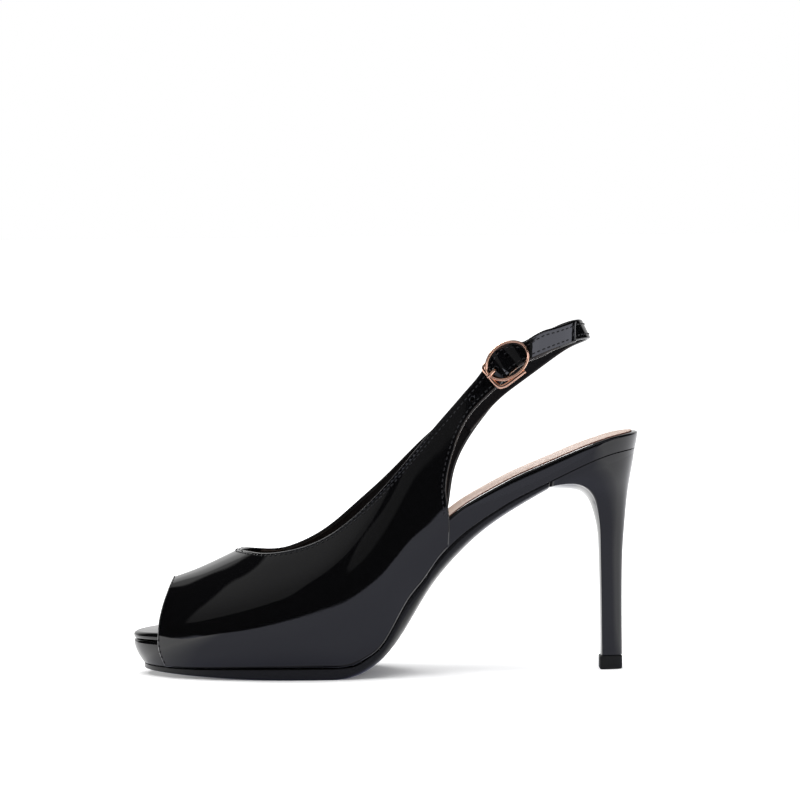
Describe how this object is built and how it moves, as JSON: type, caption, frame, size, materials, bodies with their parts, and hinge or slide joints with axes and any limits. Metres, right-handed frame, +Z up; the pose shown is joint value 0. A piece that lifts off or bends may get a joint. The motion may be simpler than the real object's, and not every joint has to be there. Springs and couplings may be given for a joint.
{
  "type": "slingback high heel shoe",
  "caption": "Left peep-toe slingback platform pump with a slim high heel, hollow patent upper, padded footbed, sling strap and side buckle.",
  "frame": {"origin": "on the floor under the middle of the shoe's box", "axes": "+X from the toe to the heel, +Y to the medial side, +Z up"},
  "size_m": [0.2108, 0.0806, 0.1469],
  "materials": {
    "patent_black": "black patent leather, high gloss",
    "sole_black": "moulded black rubber, satin",
    "sock_pink": "pale pink lining leather, matte",
    "tip_black": "matte black top piece",
    "rose_gold": "polished rose gold plating"
  },
  "bodies": {
    "root": {"outsole": "sole_black", "platform": "patent_black", "footbed": "patent_black", "sock": "sock_pink", "heel": "patent_black", "heel_tip": "tip_black", "upper": "patent_black", "sling_strap": "patent_black", "buckle_frame": "rose_gold", "buckle_prong": "rose_gold"}
  },
  "joints": []
}
